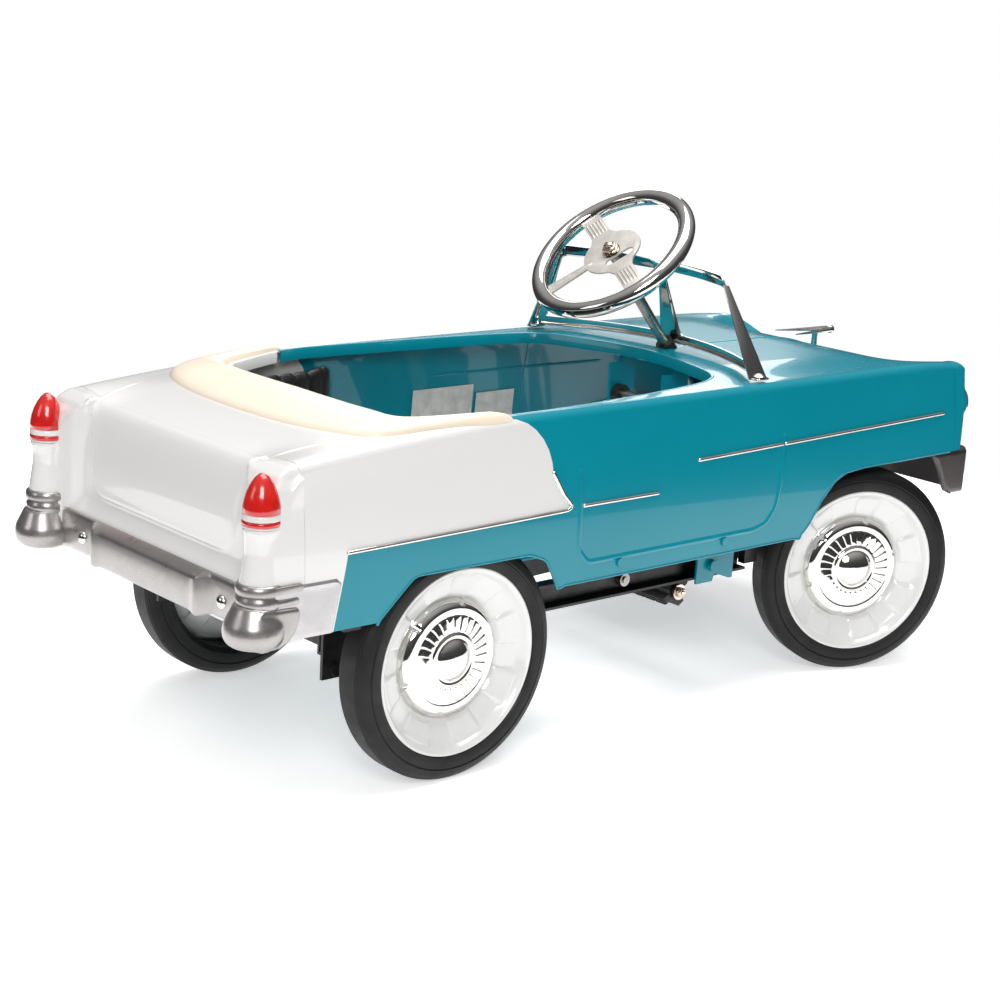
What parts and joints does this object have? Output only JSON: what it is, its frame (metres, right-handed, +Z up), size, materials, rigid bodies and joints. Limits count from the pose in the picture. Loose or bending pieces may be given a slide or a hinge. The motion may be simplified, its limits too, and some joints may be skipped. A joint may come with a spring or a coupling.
{
  "type": "pedal car",
  "caption": "Child's two-tone pedal car with open cockpit, pedals driving a cranked rear axle, steered front wheels and chromed trim.",
  "frame": {"origin": "on the floor, under the middle of the object's box", "axes": "+X forward, +Y to the car's left, +Z up"},
  "size_m": [1.13, 0.5102, 0.5703],
  "materials": {
    "body_paint": "high-gloss enamel",
    "white_paint": "high-gloss enamel",
    "cream_trim": "satin",
    "black_vinyl": "satin pleated",
    "chrome": "polished",
    "silver_paint": "satin metallic",
    "dark_silver": "satin metallic",
    "red_lens": "gloss",
    "lamp_lens": "gloss",
    "black_steel": "semi-gloss",
    "plain_steel": "zinc plated",
    "rubber_black": "matt",
    "wheel_white": "gloss",
    "spoke_silver": "satin",
    "pedal_black": "matt",
    "bush_black": "matt",
    "label_white": "matt"
  },
  "bodies": {
    "chassis": {"body_shell": "body_paint", "rear_deck_shell": "white_paint", "tail_panel": "white_paint", "nose_panel": "body_paint", "boot_cover": "cream_trim", "seat_pan": "body_paint", "seat_back": "black_vinyl", "seat_cushion": "black_vinyl", "windshield_frame": "chrome", "windshield_bolts": "chrome", "hood_ornament": "chrome", "quarter_trims": "chrome", "door_trims": "chrome", "fender_trims": "chrome", "tail_lights": "red_lens", "rear_bumper": "silver_paint", "bumper_guards": "silver_paint", "bumper_screws": "silver_paint", "front_bumper": "dark_silver", "grille": "dark_silver", "headlights": "lamp_lens", "chassis_rails": "black_steel", "cross_members": "black_steel", "rail_brackets": "black_steel", "rear_axle_bearings": "black_steel", "front_axle_beam": "black_steel", "kingpins": "plain_steel", "rail_bolts": "plain_steel", "column_bush": "bush_black", "column_pedestal": "black_steel", "pedal_hangers": "body_paint", "pedal_pivot_rod": "plain_steel", "body_screws": "body_paint", "blank_labels": "label_white"},
    "rear_axle": {"crank_axle": "plain_steel", "rear_right_tyre": "rubber_black", "rear_right_disc": "wheel_white", "rear_right_hubcap": "chrome"},
    "rear_left_wheel": {"rear_left_tyre": "rubber_black", "rear_left_disc": "wheel_white", "rear_left_hubcap": "chrome"},
    "front_left_wheel": {"front_left_tyre": "rubber_black", "front_left_disc": "wheel_white", "front_left_hubcap": "chrome"},
    "front_right_wheel": {"front_right_tyre": "rubber_black", "front_right_disc": "wheel_white", "front_right_hubcap": "chrome"},
    "left_knuckle": {"knuckle_left": "black_steel"},
    "right_knuckle": {"knuckle_right": "black_steel"},
    "track_rod": {"tie_rod": "black_steel"},
    "steering": {"steering_column": "plain_steel", "steering_rim": "chrome", "steering_spokes": "spoke_silver", "steering_nut": "chrome"},
    "left_push_rod": {"push_rod_left": "black_steel"},
    "right_push_rod": {"push_rod_right": "black_steel"},
    "left_lever": {"pedal_lever_left": "black_steel"},
    "right_lever": {"pedal_lever_right": "black_steel"},
    "left_pedal": {"pedal_left": "pedal_black"},
    "right_pedal": {"pedal_right": "pedal_black"}
  },
  "joints": [
    {"name": "rear_axle_spin", "type": "hinge", "parent": "chassis", "child": "rear_axle", "pos_m": [-0.291, 0, 0.127], "axis": [0, 1, 0], "continuous": true},
    {"name": "rear_left_wheel_spin", "type": "hinge", "parent": "rear_axle", "child": "rear_left_wheel", "pos_m": [-0.291, 0.1935, 0.127], "axis": [0, 1, 0], "continuous": true},
    {"name": "steering_turn", "type": "hinge", "parent": "chassis", "child": "steering", "pos_m": [0.098, 0, 0.499], "axis": [-0.6561, 0, 0.7547], "range_deg": [-15, 75]},
    {"name": "left_knuckle_turn", "type": "hinge", "parent": "chassis", "child": "left_knuckle", "pos_m": [0.369, 0.16, 0.127], "axis": [0, 0, 1], "range_deg": [-11, 54.8]},
    {"name": "right_knuckle_turn", "type": "hinge", "parent": "chassis", "child": "right_knuckle", "pos_m": [0.369, -0.16, 0.127], "axis": [0, 0, 1], "range_deg": [-11, 54.8]},
    {"name": "tie_rod_turn", "type": "hinge", "parent": "left_knuckle", "child": "track_rod", "pos_m": [0.41873, 0.14001, 0.15], "axis": [0, 0, 1], "range_deg": [-54.8, 11]},
    {"name": "front_left_wheel_spin", "type": "hinge", "parent": "left_knuckle", "child": "front_left_wheel", "pos_m": [0.38149, 0.19108, 0.127], "axis": [0.373, 0.9278, 0], "continuous": true},
    {"name": "front_right_wheel_spin", "type": "hinge", "parent": "right_knuckle", "child": "front_right_wheel", "pos_m": [0.35651, -0.19108, 0.127], "axis": [0.373, 0.9278, 0], "continuous": true},
    {"name": "left_push_rod_turn", "type": "hinge", "parent": "rear_axle", "child": "left_push_rod", "pos_m": [-0.253, 0.0235, 0.127], "axis": [0, 1, 0], "continuous": true},
    {"name": "right_push_rod_turn", "type": "hinge", "parent": "rear_axle", "child": "right_push_rod", "pos_m": [-0.329, -0.0235, 0.127], "axis": [0, 1, 0], "continuous": true},
    {"name": "left_lever_swing", "type": "hinge", "parent": "chassis", "child": "left_lever", "pos_m": [0.164, 0.036, 0.318], "axis": [0, 1, 0], "range_deg": [0, 24.65]},
    {"name": "left_pedal_spin", "type": "hinge", "parent": "left_lever", "child": "left_pedal", "pos_m": [0.2084, 0.081, 0.11479], "axis": [0, 1, 0], "continuous": true},
    {"name": "right_lever_swing", "type": "hinge", "parent": "chassis", "child": "right_lever", "pos_m": [0.164, -0.036, 0.318], "axis": [0, 1, 0], "range_deg": [-24.65, 0]},
    {"name": "right_pedal_spin", "type": "hinge", "parent": "right_lever", "child": "right_pedal", "pos_m": [0.1196, -0.081, 0.11479], "axis": [0, 1, 0], "continuous": true}
  ],
  "couplings": [
    {"joint": "left_knuckle_turn", "follows": "steering_turn", "ratio": 0.73},
    {"joint": "right_knuckle_turn", "follows": "steering_turn", "ratio": 0.73},
    {"joint": "tie_rod_turn", "follows": "steering_turn", "ratio": -0.73},
    {"joint": "left_push_rod_turn", "follows": "rear_axle_spin", "ratio": -1},
    {"joint": "right_push_rod_turn", "follows": "rear_axle_spin", "ratio": -1}
  ]
}
